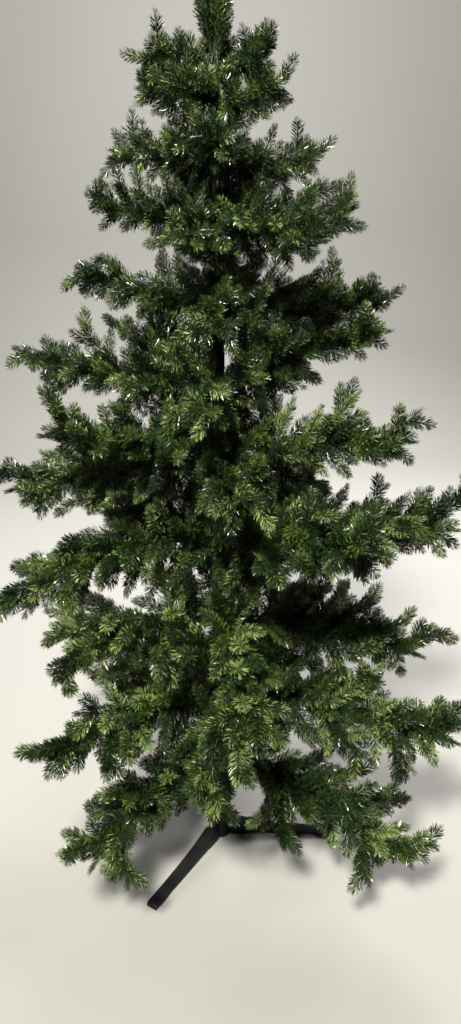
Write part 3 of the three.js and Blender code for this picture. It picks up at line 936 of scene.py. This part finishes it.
def ring(shape, radius, height, sides, place):
    """Vertices round the axis, or one vertex on it."""
    if radius == 0:
        return [shape.verts.new(place(UP * height))]
    angles = [2 * pi * side / sides for side in range(sides)]
    corners = [Vector((radius * cos(a), radius * sin(a), height)) for a in angles]
    return [shape.verts.new(place(corner)) for corner in corners]


def skin(shape, rings):
    """Faces from each ring to the next."""
    for low, high in zip(rings, rings[1:]):
        sides = max(len(low), len(high))
        for side in range(sides):
            after = (side + 1) % sides
            if len(low) == 1:
                shape.faces.new((low[0], high[after], high[side]))
            elif len(high) == 1:
                shape.faces.new((low[side], low[after], high[0]))
            else:
                shape.faces.new((low[side], low[after], high[after], high[side]))
    bmesh.ops.recalc_face_normals(shape, faces=shape.faces)


def from_bmesh(name, shape):
    """An object made of a shape that is then done with."""
    mesh = bpy.data.meshes.new(name)
    shape.to_mesh(mesh)
    shape.free()
    return in_scene(name, mesh)


def turned(name, profile, sides, place):
    """A mesh turned about the axis from (radius, height) pairs that start and end on it."""
    shape = bmesh.new()
    skin(shape, [ring(shape, radius, height, sides, place) for radius, height in profile])
    return from_bmesh(name, shape)


def surfaced(made, finish):
    """Gives a finish. Round faces shade smoothly and sharp edges stay crisp."""
    made.data.shade_smooth()
    made.data.set_sharp_from_angle(angle=CRISP)
    made.data.materials.append(finish)
    return made


# %% Make the pole
POLE = {
    "sides": 48, "foot": 6.66, "tubes": [(655, 15.5), (1315, 14), (1690, 7)],
    "sleeve": 46, "extra": 2, "bevel": 1.2, "lead": 0.4, "seam": (0.3, 0.6),
}
GROOVE = {"from": 7, "to": 11.2, "slant": 1.2, "depth": 0.7}


def pole_profile():
    """The pole from foot to tip. The sleeve at a joint has a groove pressed into it."""
    foot, tubes, bevel, lead = POLE["foot"], POLE["tubes"], POLE["bevel"], POLE["lead"]
    radius = tubes[0][1]
    profile = [(0, foot), (radius - bevel, foot), (radius, foot + bevel)]
    for (top, radius), (_, thinner) in zip(tubes, tubes[1:]):
        wide = radius + POLE["extra"]
        low = top - POLE["sleeve"]
        pressed, slant = wide - GROOVE["depth"], GROOVE["slant"]
        first, last = low + GROOVE["from"], low + GROOVE["to"]
        out, up = POLE["seam"]
        profile += [(radius, low), (wide - lead, low + lead), (wide, low + bevel)]
        profile += [(wide, first), (pressed, first + slant), (pressed, last - slant), (wide, last)]
        profile += [(wide, top - bevel), (wide - bevel, top), (thinner + out, top), (thinner, top + up)]
    top, radius = tubes[-1]
    return profile + [(radius, top - bevel), (radius - bevel, top), (0, top)]


pole = surfaced(turned("pole_tubes", pole_profile(), POLE["sides"], leaned), pole_paint)
hand_over(pole, ["pole"])

# %% [markdown]
# A collar is a ring with pockets round it, and a bough's hook drops into a pocket. The pockets
# repeat round every ring, so Geometry Nodes set them: one pocket, eight places on a circle, and a
# circle for each tier. Each place carries the angle to which its pocket is turned.

# %% Collars and pockets
COLLAR = {"height": 22, "radius": 18.6, "bore": 13.9, "bevel": 1.5, "sides": 48}
POCKET = {"size": (7, 3.4, 19), "bevel": 0.8, "radius": 19.2, "lowered": 1}


def collar_rings():
    shape = bmesh.new()
    radius, bore, bevel = COLLAR["radius"], COLLAR["bore"], COLLAR["bevel"]
    for tier in collar_tiers:
        low = tier["height"] - COLLAR["height"] / 2
        high = tier["height"] + COLLAR["height"] / 2
        section = [
            (bore, low), (radius - bevel, low), (radius, low + bevel),
            (radius, high - bevel), (radius - bevel, high), (bore, high),
        ]
        rings = [ring(shape, r, z, COLLAR["sides"], leaned) for r, z in section]
        skin(shape, rings + rings[:1])
    return from_bmesh("collar_rings", shape)


def one_pocket():
    """A small block that stands against the ring, with its edges rounded."""
    shape = bmesh.new()
    bmesh.ops.create_cube(shape, size=1)
    bmesh.ops.scale(shape, vec=Vector(POCKET["size"]) * MM, verts=shape.verts)
    bmesh.ops.bevel(shape, geom=shape.edges, offset=POCKET["bevel"] * MM, segments=2, affect="EDGES")
    return from_bmesh("one_pocket", shape)


def pocket_places():
    places, facings = [], []
    for tier in collar_tiers:
        for azimuth in pocket_azimuths(tier):
            spot = outward(azimuth) * POCKET["radius"] + UP * (tier["height"] - POCKET["lowered"])
            places.append(leaned(spot))
            facings.append(radians(azimuth + 90))
    made = from_points("collar_pockets", places)
    carry(made, "facing", facings)
    return made


def pocket_tree():
    tree, given = new_tree("pockets_round_collars", {"Pocket": "Object", "Finish": "Material"})
    placed = node(tree, "GeometryNodeInstanceOnPoints", {
        "Points": given["Geometry"],
        "Instance": node(tree, "GeometryNodeObjectInfo", {"Object": given["Pocket"]})["Geometry"],
        "Rotation": node(tree, "ShaderNodeCombineXYZ", {"Z": carried(tree, "facing")})["Vector"],
    })["Instances"]
    return end_tree(tree, given, placed)


hand_over(surfaced(collar_rings(), stand_plastic), [])
pocket = one_pocket()
pockets = run_tree(pocket_places(), pocket_tree(), {"Pocket": pocket, "Finish": stand_plastic})
bpy.data.objects.remove(pocket)
hand_over(pockets, [])

# %% [markdown]
# ## The stand
#
# The stand is a socket with three arched bars let into it. Its parts are plain moulded shapes whose
# look is all in their edges. The hub is turned, with its bevels in the profile. A leg is made from
# its side view and then bevelled.

# %% The hub
HUB = {
    "radius": 26, "rim": 29, "rim_height": 14, "bore": 20, "height": 150, "floor": 6, "sides": 64,
    "foot_bevel": 1.5, "mouth_bevel": 1, "under_rim": ((0, -1), (0.8, 0.6), (2.4, 2.6), (3, 3.6)),
    "over_rim": ((0, -2), (-0.6, -0.6), (-2, 0)),
}


def upright(point):
    """The stand doesn't lean, so its points only become metres."""
    return point * MM


def hub_profile():
    radius, rim, bore, height = HUB["radius"], HUB["rim"], HUB["bore"], HUB["height"]
    low = height - HUB["rim_height"]
    foot, mouth = HUB["foot_bevel"], HUB["mouth_bevel"]
    return [
        (0, 0), (radius - foot, 0), (radius, foot),
        *((radius + out, low + up) for out, up in HUB["under_rim"]),
        *((rim + out, height + up) for out, up in HUB["over_rim"]),
        (bore + mouth, height), (bore, height - mouth), (bore, HUB["floor"]), (0, HUB["floor"]),
    ]


hub = surfaced(turned("stand_hub_shell", hub_profile(), HUB["sides"], upright), stand_plastic)
hand_over(hub, ["stand_hub"])

# %% The legs
LEG = {
    "azimuths": (-3.6, 116.4, 236.4), "reach": 272, "width": 27, "sunk": 0.5, "heel": 62, "foot": 40,
    "arch": 5, "root_height": 36, "shoulder": 42, "slope": (117, 12), "tip_height": 10, "tip_bevel": 4,
    "top_steps": 14, "rounding": 1.6, "rounded_from": 30,
}


def leg_outline():
    """The side view of a leg, from its inner lower corner round to its inner upper one."""
    reach, heel, foot, arch = LEG["reach"], LEG["heel"], LEG["foot"], LEG["arch"]
    outline = [(HUB["radius"] - LEG["sunk"], 0), (heel, 0), (heel + 2 * arch, arch)]
    outline += [(reach - foot - 2 * arch, arch), (reach - foot, 0), (reach, 0)]
    outline.append((reach, LEG["tip_height"] - LEG["tip_bevel"]))
    start = (reach - LEG["tip_bevel"], LEG["tip_height"])
    end = (LEG["shoulder"], LEG["root_height"])
    for step in range(LEG["top_steps"] + 1):
        t = step / LEG["top_steps"]
        weighed = list(zip(((1 - t) ** 2, 2 * t * (1 - t), t**2), (start, LEG["slope"], end)))
        outline.append(tuple(sum(weight * place[axis] for weight, place in weighed) for axis in (0, 1)))
    return outline + [(HUB["radius"], LEG["root_height"])]


def leg(number, azimuth):
    shape = bmesh.new()
    half = LEG["width"] / 2
    outline = leg_outline()
    near = [shape.verts.new((x, -half, z)) for x, z in outline]
    far = [shape.verts.new((x, half, z)) for x, z in outline]
    shape.faces.new(near)
    shape.faces.new(far[::-1])
    for index in range(len(outline)):
        after = (index + 1) % len(outline)
        shape.faces.new((near[index], far[index], far[after], near[after]))
    bmesh.ops.recalc_face_normals(shape, faces=shape.faces)
    bmesh.ops.transform(shape, matrix=Matrix.Scale(MM, 4), verts=shape.verts)
    least = radians(LEG["rounded_from"])
    sharp = [edge for edge in shape.edges if edge.calc_face_angle(0) > least]
    rounding = LEG["rounding"] * MM
    bmesh.ops.bevel(shape, geom=sharp, offset=rounding, segments=3, affect="EDGES", profile=0.5)
    turn = Matrix.Rotation(radians(azimuth), 4, "Z")
    bmesh.ops.transform(shape, matrix=turn, verts=shape.verts)
    return surfaced(from_bmesh(f"stand_leg_bar_{number}", shape), stand_plastic)


for number, azimuth in enumerate(LEG["azimuths"], 1):
    hand_over(leg(number, azimuth), [f"stand_leg_{number}"])

# %% [markdown]
# ## Floor and light
#
# The tree stands on a pale floor that runs up into a pale wall in one sweep, so that no corner
# shows. The lamp of the room hangs high in front of the tree, so the inside of the crown stays
# dark. A weak lamp overhead lights the top twigs, and another one the wall. Three lamps from behind
# and from the sides keep the back readable. No needle mirrors them, because their glints would
# flatten the front.

# %% Floor
FLOOR = {"half": 6, "wall": 4.5, "bend": 1.5, "steps": 12, "height": 5}
pale = new_finish("pale_floor", (0.21, 0.206, 0.198), 0.8)


def studio_floor():
    section = [(-FLOOR["half"], 0)]
    for step in range(FLOOR["steps"] + 1):
        angle = pi / 2 * step / FLOOR["steps"]
        y = FLOOR["wall"] - FLOOR["bend"] + FLOOR["bend"] * sin(angle)
        section.append((y, FLOOR["bend"] * (1 - cos(angle))))
    section.append((FLOOR["wall"], FLOOR["height"]))
    places = [(x, y, z) for y, z in section for x in (-FLOOR["half"], FLOOR["half"])]
    faces = [(2 * k, 2 * k + 1, 2 * k + 3, 2 * k + 2) for k in range(len(section) - 1)]
    made = from_points("studio_floor", places, faces=faces)
    made.data.materials.append(pale)
    made.data.shade_smooth()
    return made


studio_floor()


# %% Lights
MIDDLE = (0, 0, 0.8)
ON_WALL = (0, 4.5, 1.6)
WARM = (1.0, 0.97, 0.86)
WHITE = (1.0, 1.0, 1.0)
SOFT = (1.0, 0.98, 0.95)
# Name, place, what it is aimed at, size, watts, colour, and whether the needles mirror it.
LAMPS = [
    ("key", (-0.6, -2.7, 3.9), MIDDLE, 0.6, 690, WARM, True),
    ("top", (-0.4, 0.8, 3.4), MIDDLE, 2.0, 5, WHITE, True),
    ("wall", (0, 1.8, 3.4), ON_WALL, 2.0, 110, WHITE, True),
    ("back", (0.9, 2.8, 2.8), MIDDLE, 1.2, 240, SOFT, False),
    ("left", (-3.0, 1.8, 2.2), MIDDLE, 1.2, 110, SOFT, False),
    ("right", (3.0, 1.8, 2.2), MIDDLE, 1.2, 110, SOFT, False),
]
for name, place, aimed_at, size, watts, colour, glints in LAMPS:
    lamp = in_scene(name, bpy.data.lights.new(name, "AREA"))
    lamp.data.size = size
    lamp.data.energy = watts
    lamp.data.color = colour
    lamp.location = place
    lamp.rotation_euler = (Vector(aimed_at) - Vector(place)).to_track_quat("-Z", "Y").to_euler()
    lamp.visible_glossy = glints
print("lamps:", ", ".join(lamp[0] for lamp in LAMPS))

# %% [markdown]
# Round the tree is a pale room. The camera sees it bright, but hardly any of its light falls on the
# tree, because even light from everywhere would make the crown look flat.

# %% World
ROOM = {"colour": (0.9, 0.9, 0.92, 1), "lighting": 0.03, "seen": 0.4}
world = bpy.data.worlds.new("pale_room")
bpy.context.scene.world = world
world.use_nodes = True
backdrop = world.node_tree.nodes["Background"]
backdrop.inputs["Color"].default_value = ROOM["colour"]
seen = node(world.node_tree, "ShaderNodeLightPath", {})["Is Camera Ray"]
sockets = {"Value": seen, "To Min": ROOM["lighting"], "To Max": ROOM["seen"]}
strength = node(world.node_tree, "ShaderNodeMapRange", sockets)["Result"]
world.node_tree.links.new(strength, backdrop.inputs["Strength"])
bpy.context.scene.view_settings.view_transform = "Standard"
